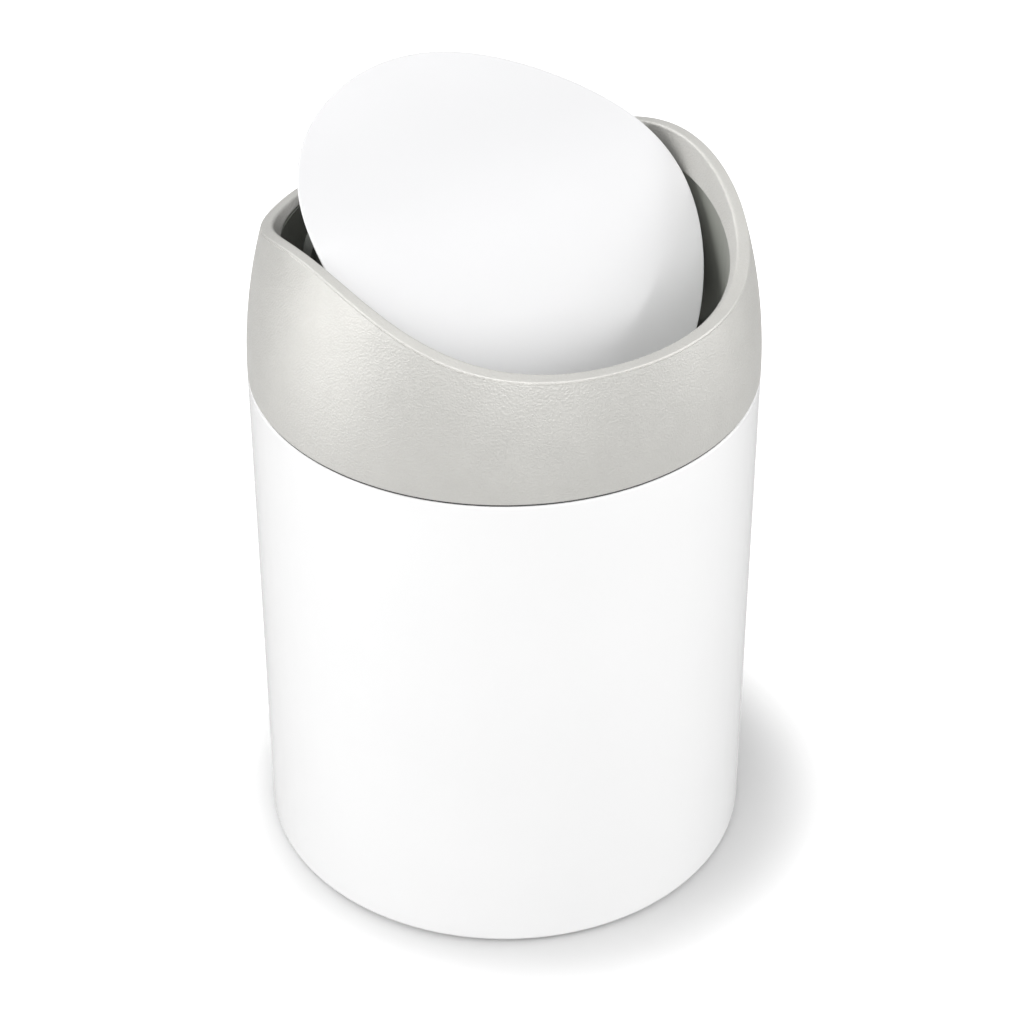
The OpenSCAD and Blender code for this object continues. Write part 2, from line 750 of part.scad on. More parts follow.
// Moulded frame under the lid: curved plate, ribs, stud bosses and two cheeks.
module lid_frame() {
    color(shadow_grey)
        on_lid()
            difference() {
                union() {
                    lid_layer(plate_top, plate_bottom, frame_in);
                    frame_ribs();
                    intersection() {
                        at_studs()
                            translate([0, 0, -stud_boss_z])
                                cylinder(r = stud_boss_r, h = stud_boss_z + plate_top);
                        under_wave(plate_bottom + frame_t / 2, lid_drop, lid_b, -lid_drop - 14);
                    }
                    for (side = [-1, 1])
                        on_side(side)
                            frame_cheek();
                }
                at_studs()
                    translate([0, 0, -stud_boss_z - 5])
                        cylinder(r = stud_r + 0.1, h = stud_boss_z + 5 + plate_top + 1);
            }
}

// Hexagon nuts that hold the lid's studs down in the frame.
module lid_nuts() {
    color(steel)
        on_lid()
            at_studs()
                translate([0, 0, -stud_boss_z - nut_h])
                    difference() {
                        cylinder(r = nut_w / sqrt(3), h = nut_h, $fn = 6);
                        translate([0, 0, -1])
                            cylinder(r = stud_r + press, h = nut_h + 2);
                    }
}

// Steel pin: fixed in a cheek, turning in a bush, with its head outside the bush.
module pivot_pin(side) {
    color(steel)
        on_lid()
            on_side(side) {
                x_bar(pin_r, pin_x0, pin_head_x + eps);
                x_bar(pin_head_r, pin_head_x, pin_head_x + pin_head_t);
            }
}

// Push-on washer that keeps a pin in its cheek.
module pin_clip(side) {
    color(steel)
        on_lid()
            on_side(side)
                difference() {
                    x_bar(clip_r, cap_x0 - clip_t, cap_x0);
                    x_bar(pin_r + press, cap_x0 - clip_t - 1, cap_x0 + 1);
                    for (turn = [0, 120, 240])
                        rotate([turn, 0, 0])
                            translate([cap_x0 - clip_t - 1, -0.3, pin_r - 0.5])
                                cube([clip_t + 2, 0.6, 1.5]);
                }
}

// Half-moon steel weight in one cheek's pocket.
module weight(side) {
    color(steel)
        on_lid()
            on_side(side)
                x_arc(weight_r0, weight_r1, cheek_x0, cheek_x0 + weight_t, weight_arc);
}

// Cover that closes one cheek's pocket.
module weight_cap(side) {
    color(shadow_grey)
        on_lid()
            on_side(side)
                difference() {
                    cheek_disc(cheek_r, cap_x0, cheek_x0, cap_top);
                    x_bar(pin_r + 0.1, cap_x0 - 1, cheek_x0 + 1);
                    for (y = [-cap_screw_y, cap_screw_y])
                        x_bar(cap_screw_r + 0.1, cap_x0 - 1, cheek_x0 + 1, y);
                }
}

// Small screws that hold the two covers.
module cap_screws() {
    color(steel)
        on_lid()
            for (side = [-1, 1])
                on_side(side)
                    for (y = [-cap_screw_y, cap_screw_y]) {
                        x_bar(cap_head_r, cap_x0 - cap_head_h, cap_x0, y);
                        x_bar(cap_screw_r, cap_x0 - eps, cap_x0 + cap_screw_l, y);
                    }
}

body_shell();
body_floor();
base_ring();
non_slip_ring();
collar();
collar_liner();
seat_gasket();
collar_screws();
pivot_bush(-1);  // pivot_bush_left
pivot_bush(1);  // pivot_bush_right
lid_panel();
lid_frame();
lid_nuts();
pivot_pin(-1);  // pivot_pin_left
pivot_pin(1);  // pivot_pin_right
pin_clip(-1);  // pin_clip_left
pin_clip(1);  // pin_clip_right
weight(-1);  // weight_left
weight(1);  // weight_right
weight_cap(-1);  // weight_cap_left
weight_cap(1);  // weight_cap_right
cap_screws();
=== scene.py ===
"""Visual model of a countertop trash can with a swing lid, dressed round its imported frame."""
import logging
import math
from dataclasses import dataclass, field
from enum import Enum
from typing import Any, Callable, Sequence

import bmesh
import bpy
from mathutils import Matrix, Vector


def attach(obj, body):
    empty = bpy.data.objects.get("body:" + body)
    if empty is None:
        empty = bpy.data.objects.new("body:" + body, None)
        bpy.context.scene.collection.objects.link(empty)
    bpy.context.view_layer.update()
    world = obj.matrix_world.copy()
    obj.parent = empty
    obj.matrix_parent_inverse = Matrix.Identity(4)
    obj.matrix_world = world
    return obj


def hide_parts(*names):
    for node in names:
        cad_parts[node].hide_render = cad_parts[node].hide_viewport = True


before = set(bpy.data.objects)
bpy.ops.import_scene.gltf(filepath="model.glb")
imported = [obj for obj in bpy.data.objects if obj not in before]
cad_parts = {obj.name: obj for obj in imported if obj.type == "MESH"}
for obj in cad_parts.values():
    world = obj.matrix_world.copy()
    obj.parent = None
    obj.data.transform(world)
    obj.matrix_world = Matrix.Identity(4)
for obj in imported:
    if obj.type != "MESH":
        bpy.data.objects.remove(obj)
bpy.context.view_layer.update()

LOG = logging.getLogger("swing_lid_can")
MM = 0.001  # the frame is in metres and the sizes below are in millimetres
GUARD = 0.25  # how far a loop next to a rounded edge lies from it, so that the edge alone is shaded round

Point = tuple[float, float]  # (distance from the axis, height), in millimetres
Colour = tuple[float, float, float, float]


# ---------------------------------------------------------------- materials


def linear(code: str) -> Colour:
    """Turns an sRGB hex colour into Blender's linear one.

    Args:
        code: Six hex digits, such as "CFCEC9".

    Returns:
        Red, green, blue and alpha, linear.
    """
    parts = [int(code[i:i + 2], 16) / 255 for i in (0, 2, 4)]
    red, green, blue = (c / 12.92 if c <= 0.04045 else ((c + 0.055) / 1.055) ** 2.4 for c in parts)
    return (red, green, blue, 1.0)


def per_mm(size: float) -> float:
    """Scale of a pattern on Object coordinates whose features are `size` millimetres apart."""
    return 1.0 / (size * MM)


def add_node(tree: bpy.types.NodeTree, kind: str, inputs: dict[Any, Any] | None = None,
             **settings: Any) -> bpy.types.Node:
    """Adds a node with its settings, values and links.

    Args:
        tree: The node tree that gets it.
        kind: Blender's name of the node type.
        inputs: Input name or number to a value, or to the output socket that feeds it.
        **settings: The node's own properties.

    Returns:
        The new node.
    """
    node = tree.nodes.new(kind)
    for name, value in settings.items():
        setattr(node, name, value)
    for name, value in (inputs or {}).items():
        if isinstance(value, bpy.types.NodeSocket):
            tree.links.new(value, node.inputs[name])
        else:
            node.inputs[name].default_value = value
    return node


def new_material(name: str) -> tuple[bpy.types.Material, bpy.types.NodeTree, bpy.types.NodeSocket]:
    """Starts an empty node material.

    Args:
        name: The material's name.

    Returns:
        The material, its node tree and the Object coordinates.
    """
    material = bpy.data.materials.new(name)
    material.use_nodes = True
    tree = material.node_tree
    tree.nodes.clear()
    place = add_node(tree, "ShaderNodeTexCoord").outputs["Object"]
    return material, tree, place


def finish_material(tree: bpy.types.NodeTree, inputs: dict[Any, Any]) -> None:
    """Adds the surface shader and the output.

    Args:
        tree: The material's node tree.
        inputs: What the Principled shader's inputs are set to or fed by.
    """
    shader = add_node(tree, "ShaderNodeBsdfPrincipled", inputs)
    add_node(tree, "ShaderNodeOutputMaterial", {"Surface": shader.outputs[0]})


class Brushing(Enum):
    """Which way the fine lines of a worked metal run."""

    NONE = (1.0, 1.0, 1.0)
    TURNED = (0.05, 1.0, 1.0)
    ROLLED = (1.0, 0.04, 1.0)


@dataclass(frozen=True)
class Enamel:
    """Baked polyester enamel on drawn steel sheet: hard, glossy, and a little rippled like orange peel."""

    name: str
    colour: str = "F2F2F2"
    roughness: float = 0.16
    ripple_mm: float = 3.2
    ripple_depth_mm: float = 0.004

    def material(self) -> bpy.types.Material:
        """Builds the enamel with its ripple and a faint drift of tone."""
        material, tree, place = new_material(self.name)
        drift = add_node(tree, "ShaderNodeTexNoise",
                         {"Vector": place, "Scale": per_mm(45.0), "Detail": 2.0}).outputs["Fac"]
        tone = add_node(tree, "ShaderNodeValToRGB", {"Fac": drift})
        tone.color_ramp.elements[0].position = 0.3
        tone.color_ramp.elements[0].color = tuple(c * 0.985 for c in linear(self.colour)[:3]) + (1.0,)
        tone.color_ramp.elements[1].position = 0.7
        tone.color_ramp.elements[1].color = linear(self.colour)
        peel = add_node(tree, "ShaderNodeTexNoise",
                        {"Vector": place, "Scale": per_mm(self.ripple_mm), "Detail": 1.0,
                         "Roughness": 0.4}).outputs["Fac"]
        relief = add_node(tree, "ShaderNodeBump",
                          {"Height": peel, "Strength": 1.0, "Distance": self.ripple_depth_mm * MM})
        finish_material(tree, {"Base Color": tone.outputs["Color"], "Roughness": self.roughness,
                               "IOR": 1.5, "Coat Weight": 0.3, "Coat Roughness": 0.06,
                               "Normal": relief.outputs["Normal"]})
        return material


@dataclass(frozen=True)
class GrainedMoulding:
    """Moulded ABS or polypropylene from a grained tool: satin, with a skin of fine leather pebbles.

    A pearl pigment in the plastic gives it a soft metallic sheen, which `pearl` sets.
    """

    name: str
    colour: str = "C8C7C3"
    roughness: float = 0.42
    pearl: float = 0.5
    pebble_mm: float = 0.54
    pebble_depth_mm: float = 0.044

    def material(self) -> bpy.types.Material:
        """Builds the grain from small uneven cells with rounded tops and narrow creases."""
        material, tree, place = new_material(self.name)
        wander = add_node(tree, "ShaderNodeTexNoise",
                          {"Vector": place, "Scale": per_mm(2.2), "Detail": 2.0}).outputs["Color"]
        bent = add_node(tree, "ShaderNodeMixRGB", {"Fac": 0.0012, "Color1": place, "Color2": wander},
                        blend_type="ADD").outputs["Color"]
        cells = add_node(tree, "ShaderNodeTexVoronoi",
                         {"Vector": bent, "Scale": per_mm(self.pebble_mm), "Smoothness": 0.35,
                          "Randomness": 1.0}, feature="SMOOTH_F1").outputs["Distance"]
        pebbles = add_node(tree, "ShaderNodeMapRange",
                           {"Value": cells, "From Min": 0.15, "From Max": 0.75,
                            "To Min": 1.0, "To Max": 0.0}).outputs["Result"]
        patches = add_node(tree, "ShaderNodeTexNoise",
                           {"Vector": place, "Scale": per_mm(9.0), "Detail": 3.0}).outputs["Fac"]
        tone = add_node(tree, "ShaderNodeValToRGB", {"Fac": patches})
        tone.color_ramp.elements[0].position = 0.3
        tone.color_ramp.elements[0].color = tuple(c * 0.965 for c in linear(self.colour)[:3]) + (1.0,)
        tone.color_ramp.elements[1].position = 0.7
        tone.color_ramp.elements[1].color = linear(self.colour)
        sheen = add_node(tree, "ShaderNodeMapRange",
                         {"Value": pebbles, "To Min": self.roughness + 0.12,
                          "To Max": self.roughness - 0.04}).outputs["Result"]
        relief = add_node(tree, "ShaderNodeBump",
                          {"Height": pebbles, "Strength": 1.0, "Distance": self.pebble_depth_mm * MM})
        finish_material(tree, {"Base Color": tone.outputs["Color"], "Roughness": sheen, "IOR": 1.5,
                               "Metallic": self.pearl, "Normal": relief.outputs["Normal"]})
        return material


@dataclass(frozen=True)
class PlainMoulding:
    """Moulded polypropylene from a spark-eroded tool: an even, dull, slightly gritty skin."""

    name: str
    colour: str
    roughness: float = 0.5
    grit_mm: float = 0.35
    grit_depth_mm: float = 0.012

    def material(self) -> bpy.types.Material:
        """Builds the gritty skin with slow flow marks in its tone."""
        material, tree, place = new_material(self.name)
        flow = add_node(tree, "ShaderNodeTexNoise",
                        {"Vector": place, "Scale": per_mm(14.0), "Detail": 3.0}).outputs["Fac"]
        tone = add_node(tree, "ShaderNodeValToRGB", {"Fac": flow})
        tone.color_ramp.elements[0].position = 0.3
        tone.color_ramp.elements[0].color = tuple(c * 0.93 for c in linear(self.colour)[:3]) + (1.0,)
        tone.color_ramp.elements[1].position = 0.7
        tone.color_ramp.elements[1].color = linear(self.colour)
        grit = add_node(tree, "ShaderNodeTexNoise",
                        {"Vector": place, "Scale": per_mm(self.grit_mm), "Detail": 2.0}).outputs["Fac"]
        relief = add_node(tree, "ShaderNodeBump",
                          {"Height": grit, "Strength": 1.0, "Distance": self.grit_depth_mm * MM})
        finish_material(tree, {"Base Color": tone.outputs["Color"], "Roughness": self.roughness,
                               "IOR": 1.49, "Normal": relief.outputs["Normal"]})
        return material


@dataclass(frozen=True)
class Elastomer:
    """Soft thermoplastic rubber: dark, dull, with a dusty bloom that lifts its tone in patches."""

    name: str
    colour: str = "2B2B2D"
    bloom: str = "3A3A3B"
    roughness: float = 0.72

    def material(self) -> bpy.types.Material:
        """Builds the rubber with its bloom and a fine tooth."""
        material, tree, place = new_material(self.name)
        dust = add_node(tree, "ShaderNodeTexNoise",
                        {"Vector": place, "Scale": per_mm(5.0), "Detail": 4.0}).outputs["Fac"]
        tone = add_node(tree, "ShaderNodeValToRGB", {"Fac": dust})
        tone.color_ramp.elements[0].position = 0.4
        tone.color_ramp.elements[0].color = linear(self.colour)
        tone.color_ramp.elements[1].position = 0.75
        tone.color_ramp.elements[1].color = linear(self.bloom)
        tooth = add_node(tree, "ShaderNodeTexNoise",
                         {"Vector": place, "Scale": per_mm(0.4), "Detail": 2.0}).outputs["Fac"]
        relief = add_node(tree, "ShaderNodeBump",
                          {"Height": tooth, "Strength": 1.0, "Distance": 0.015 * MM})
        finish_material(tree, {"Base Color": tone.outputs["Color"], "Roughness": self.roughness,
                               "Normal": relief.outputs["Normal"]})
        return material


@dataclass(frozen=True)
class CoatedSteel:
    """Zinc-plated, rolled or turned steel: a grey metal whose tone and gloss vary in fine lines."""

    name: str
    colour: str = "B9BBBE"
    roughness: float = 0.32
    brushing: Brushing = Brushing.NONE
    line_mm: float = 0.5

    def material(self) -> bpy.types.Material:
        """Builds the metal with its lines or spangle."""
        material, tree, place = new_material(self.name)
        drawn = add_node(tree, "ShaderNodeMapping",
                         {"Vector": place, "Scale": self.brushing.value}).outputs["Vector"]
        lines = add_node(tree, "ShaderNodeTexNoise",
                         {"Vector": drawn, "Scale": per_mm(self.line_mm), "Detail": 3.0}).outputs["Fac"]
        tone = add_node(tree, "ShaderNodeValToRGB", {"Fac": lines})
        tone.color_ramp.elements[0].position = 0.3
        tone.color_ramp.elements[0].color = tuple(c * 0.82 for c in linear(self.colour)[:3]) + (1.0,)
        tone.color_ramp.elements[1].position = 0.7
        tone.color_ramp.elements[1].color = linear(self.colour)
        gloss = add_node(tree, "ShaderNodeMapRange",
                         {"Value": lines, "To Min": self.roughness + 0.12,
                          "To Max": self.roughness - 0.08}).outputs["Result"]
        finish_material(tree, {"Base Color": tone.outputs["Color"], "Metallic": 1.0, "Roughness": gloss})
        return material


# ---------------------------------------------------------------- modelling


def raised_cosine(y: float, drop: float, reach: float) -> float:
    """Height lost at y along a saddle curve that is flat at its crown and at its reach.

    Args:
        y: Distance from the crown.
        drop: Height lost at the reach and beyond it.
        reach: Distance at which the curve is lowest.

    Returns:
        The height lost.
    """
    return drop * (1 - math.cos(math.pi * min(abs(y), reach) / reach)) / 2


def rounded(before: Point, corner: Point, after: Point, radius: float, steps: int = 4) -> list[Point]:
    """Rounds one corner of a section, with a loop close by on each side of the arc.

    Args:
        before: A point on the edge that comes in.
        corner: The sharp corner.
        after: A point on the edge that goes out.
        radius: Radius of the arc.
        steps: Number of chords along the arc.

    Returns:
        The points that take the corner's place, in order.
    """
    at = Vector(corner)
    inward = (Vector(before) - at).normalized()
    onward = (Vector(after) - at).normalized()
    half = inward.angle(onward) / 2
    reach = radius / math.tan(half)
    centre = at + (inward + onward).normalized() * (radius / math.sin(half))
    start, end = at + inward * reach, at + onward * reach
    out = [tuple(at + inward * (reach + GUARD))]
    first, last = start - centre, end - centre
    turn = first.angle(last)
    for i in range(steps + 1):
        share = i / steps
        spoke = (first * math.sin((1 - share) * turn) + last * math.sin(share * turn)) / math.sin(turn)
        out.append(tuple(centre + spoke))
    out.append(tuple(at + onward * (reach + GUARD)))
    return out


def arc(hub: Point, radius: float, start: float, end: float, steps: int = 6) -> list[Point]:
    """Lists points along an arc of a section.

    Args:
        hub: The arc's centre.
        radius: Its radius.
        start: Angle of its first point, in degrees.
        end: Angle of its last point, in degrees.
        steps: Number of chords.

    Returns:
        The points, in order.
    """
    angles = [math.radians(start + (end - start) * k / steps) for k in range(steps + 1)]
    return [(hub[0] + radius * math.cos(t), hub[1] + radius * math.sin(t)) for t in angles]


def raise_loops(name: str, sides: int, section: Callable[[float], Sequence[Vector]],
                closed: bool) -> bpy.types.Object:
    """Models a piece by extruding one loop of edges again and again, as a wall is raised on a wheel.

    Args:
        name: The piece's name.
        sides: Number of edges round the loop.
        section: Turns an angle round the axis into the places that the loop takes there, in metres.
        closed: Whether the last loop meets the first.

    Returns:
        The piece, with smooth shading between its sharp edges.
    """
    bpy.ops.object.select_all(action="DESELECT")
    bpy.ops.mesh.primitive_circle_add(vertices=sides, radius=0.05, fill_type="NOTHING")
    piece = bpy.context.object
    piece.name = piece.data.name = name
    bpy.ops.object.mode_set(mode="EDIT")
    mesh = bmesh.from_edit_mesh(piece.data)
    station = mesh.verts.layers.int.new("station")
    paths: list[Sequence[Vector]] = []
    for vertex in mesh.verts:
        vertex[station] = len(paths)
        path = list(section(math.atan2(vertex.co.y, vertex.co.x)))
        paths.append(path + [path[0]] if closed else path)
        vertex.co = path[0]
        vertex.select_set(True)
    mesh.select_flush(True)
    bmesh.update_edit_mesh(piece.data)
    for level in range(1, len(paths[0])):
        bpy.ops.mesh.extrude_region_move()
        mesh = bmesh.from_edit_mesh(piece.data)
        station = mesh.verts.layers.int["station"]
        for vertex in mesh.verts:
            if vertex.select:
                vertex.co = paths[vertex[station]][level]
        bmesh.update_edit_mesh(piece.data)
    mesh = bmesh.from_edit_mesh(piece.data)
    mesh.verts.layers.int.remove(mesh.verts.layers.int["station"])
    bpy.ops.mesh.select_all(action="SELECT")
    bpy.ops.mesh.remove_doubles(threshold=0.0005 * MM)
    bpy.ops.mesh.normals_make_consistent(inside=False)
    bpy.ops.object.mode_set(mode="OBJECT")
    bpy.ops.object.shade_smooth_by_angle(angle=math.radians(32))
    return piece


def dress(node: str, material: bpy.types.Material) -> None:
    """Gives a CAD node its material and logs it."""
    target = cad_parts[node]
    for place in target.material_slots:
        place.material = material
    LOG.info("%s: %s", node, material.name)


def stand_for(piece: bpy.types.Object, node: str, body: str,
              material: bpy.types.Material) -> None:
    """Puts a modelled piece in a CAD node's place.

    Args:
        piece: The modelled piece.
        node: The CAD node that it stands for.
        body: The body that it rides on.
        material: Its material.
    """
    piece.data.materials.clear()
    piece.data.materials.append(material)
    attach(piece, body)
    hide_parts(node)
    LOG.info("%s: modelled, %d faces", piece.name, len(piece.data.polygons))


# ---------------------------------------------------------------- the can


@dataclass
class Can:
    """The steel can: shell, floor, base ring and the soft ring that it stands on. Sizes in millimetres."""

    radius: float = 63.0
    shell_height: float = 136.1
    sheet: float = 0.7
    hem_depth: float = 5.0
    curl_width: float = 2.4
    foot_gap: float = 0.8
    roll: float = 1.3
    fold_flat: float = 0.1
    sides: int = 256
    wall_loops: int = 12

    @property
    def top(self) -> float:
        """Height of the hem's top above the table."""
        return self.foot_gap + self.shell_height

    def shell_section(self) -> list[Point]:
        """Lists the bent sheet's section: bottom roll, outer wall, folded hem, inner wall and curl."""
        foot, top, sheet = self.foot_gap, self.top, self.sheet
        hem, curl = self.radius - 2 * sheet, self.radius - self.curl_width
        hub, fold = self.radius - self.roll, sheet - self.fold_flat
        low, high = foot + self.roll + GUARD, top - sheet - GUARD
        section: list[Point] = [(curl, foot)]
        section += arc((hub, foot + self.roll), self.roll, -90, 0)
        section += [(self.radius, low + (high - low) * k / self.wall_loops)
                    for k in range(self.wall_loops + 1)]
        section += arc((self.radius - fold, top - fold), fold, 0, 90, 5)
        section += arc((hem + fold, top - fold), fold, 90, 180, 5)
        section += [(hem, top - self.hem_depth), (self.radius - sheet, top - self.hem_depth)]
        section += arc((hub, foot + self.roll), self.roll - sheet, 0, -90)
        section.append((curl, foot + sheet))
        return section

    def shell(self) -> bpy.types.Object:
        """Models the shell as one turned wall."""
        section = self.shell_section()

        def place(turn: float) -> list[Vector]:
            """Stands the section up at one angle."""
            return [Vector((r * math.cos(turn), r * math.sin(turn), z)) * MM for r, z in section]

        return raise_loops("can_shell", self.sides, place, closed=True)

    def build(self) -> None:
        """Models and dresses the can."""
        white = Enamel("white_enamel_on_steel").material()
        stand_for(self.shell(), "body_shell", "can", white)
        dress("body_floor", CoatedSteel("zinc_coated_sheet", brushing=Brushing.ROLLED).material())
        dress("base_ring", PlainMoulding("dark_grey_polypropylene", colour="55565A").material())
        dress("non_slip_ring", Elastomer("non_slip_rubber").material())


# ---------------------------------------------------------------- the collar


@dataclass
class Collar:
    """The moulded collar and what it carries. Heights are above the seam, in millimetres."""

    can: Can = field(default_factory=Can)
    gasket: float = 0.5
    wall_arc: float = 139.0
    wall: float = 2.2
    rim_side: float = 45.6
    rim_drop: float = 15.3
    rim_side_thick: float = 5.1
    rim_front_thick: float = 2.0
    lip_side: float = 37.4
    lip_drop: float = 8.6
    lip_thick: float = 1.4
    mouth_side_in: float = 12.1
    mouth_front_in: float = 7.3
    mouth_square: float = 2.1
    rim_width: float = 2.7
    outer_round: float = 0.4
    inner_round: float = 0.8
    foot_round: float = 0.35
    lip_round: float = 0.35
    lip_back_round: float = 0.2
    hollow_bow: float = 0.9
    groove_width: float = 0.4
    groove_depth: float = 0.22
    sides: int = 256
    wall_loops: int = 20

    @property
    def seam(self) -> float:
        """Height of the seam above the table."""
        return self.can.top + self.gasket

    @property
    def reach(self) -> float:
        """Distance from the middle at which the rim is lowest."""
        return self.can.radius - 2.5

    def outside(self, z: float) -> float:
        """Radius of the outer wall at a height."""
        return self.can.radius - self.wall_arc + math.sqrt(self.wall_arc ** 2 - z ** 2)

    def lip_radius(self, turn: float) -> float:
        """Distance from the axis to the lip: an oval a little squarer than an ellipse."""
        side = self.can.radius - self.mouth_side_in
        front = self.can.radius - self.mouth_front_in
        power = self.mouth_square
        total = abs(math.cos(turn) / side) ** power + abs(math.sin(turn) / front) ** power
        return total ** (-1 / power)

    def meet(self, turn: float, crown: float, drop: float, radius: Callable[[float], float]) -> Point:
        """Finds where a surface meets a saddle curve.

        Args:
            turn: Angle round the axis.
            crown: Height of the saddle at the sides.
            drop: How far it sweeps down.
            radius: The surface's distance from the axis at a height.

        Returns:
            Distance from the axis and height.
        """
        z = crown - drop / 2
        for _ in range(40):
            z = crown - raised_cosine(radius(z) * math.sin(turn), drop, self.reach)
        return (radius(z), z)

    def section(self, turn: float) -> list[Vector]:
        """Lists the wall's section at one angle: outer wall, groove, rim, inner face, lip and hollow.

        Args:
            turn: Angle round the axis.

        Returns:
            The places of the section, in metres.
        """
        hollow_crown = self.rim_side - self.rim_side_thick
        hollow_drop = self.rim_drop - self.rim_side_thick + self.rim_front_thick
        foot, heel = (self.can.radius, 0.0), (self.can.radius - self.wall, 0.0)
        outer = self.meet(turn, self.rim_side, self.rim_drop, self.outside)
        inner = self.meet(turn, self.rim_side, self.rim_drop,
                          lambda z: self.outside(z) - self.rim_width)
        radius = self.lip_radius(turn)
        lip = self.meet(turn, self.lip_side, self.lip_drop, lambda z: radius)
        back = (lip[0] + self.lip_thick, lip[1])
        lean = (inner[0] - lip[0]) / (inner[1] - lip[1])
        high_in = self.meet(turn, hollow_crown, hollow_drop,
                            lambda z: lip[0] + self.lip_thick + lean * (z - lip[1]))
        high_out = self.meet(turn, hollow_crown, hollow_drop, lambda z: self.outside(z) - self.wall)
        bottom = rounded(heel, foot, (self.outside(2.0), 2.0), self.foot_round, 3)
        top = rounded((self.outside(outer[1] - 2), outer[1] - 2), outer, inner, self.outer_round, 5)
        groove_top = top[1][1] - 0.05
        groove_low = groove_top - self.groove_width
        low, high = bottom[-1][1], groove_low - GUARD
        heights = [low + (high - low) * k / self.wall_loops for k in range(1, self.wall_loops + 1)]
        points = bottom + [(self.outside(z), z) for z in heights]
        # the groove is a shallow dish: its depth as a share of the full one, across its width
        for share, depth in ((0.0, 0.0), (0.25, 0.85), (0.5, 1.0), (0.75, 0.85), (1.0, 0.0)):
            z = groove_low + share * self.groove_width
            points.append((self.outside(z) - self.groove_depth * depth, z))
        points += top[1:]
        points += rounded(outer, inner, lip, self.inner_round, 6)
        points += [(inner[0] + (lip[0] - inner[0]) * s, inner[1] + (lip[1] - inner[1]) * s)
                   for s in (0.4, 0.6, 0.8)]
        points += rounded(inner, lip, back, self.lip_round, 3)
        points += rounded(lip, back, high_in, self.lip_back_round, 2)
        bow = ((high_out[0] + heel[0]) / 2 + self.hollow_bow, high_out[1] / 2)
        points += [high_in, high_out, bow, heel]
        across, along = math.cos(turn) * MM, math.sin(turn) * MM
        return [Vector((r * across, r * along, (z + self.seam) * MM)) for r, z in points]

    def build(self) -> None:
        """Models and dresses the collar and its own pieces."""
        grained = GrainedMoulding("warm_grey_grained_moulding").material()
        stand_for(raise_loops("collar_moulding", self.sides, self.section, closed=True),
                  "collar", "collar", grained)
        dress("collar_liner", PlainMoulding("mid_grey_polypropylene", colour="9C9E97").material())
        # partly painted shade: the gasket is a real part, and its dark rubber also stands in for the dark
        # shade line along the seam
        dress("seat_gasket", Elastomer("gasket_rubber", colour="3A3A3A", bloom="454545").material())
        plated = CoatedSteel("zinc_plated_screws", colour="C4C5C8", line_mm=0.8).material()
        dress("collar_screws", plated)
        nylon = PlainMoulding("natural_nylon", colour="E4E1D6", roughness=0.38).material()
        for side in ("left", "right"):
            dress(f"pivot_bush_{side}", nylon)


# ---------------------------------------------------------------- the lid


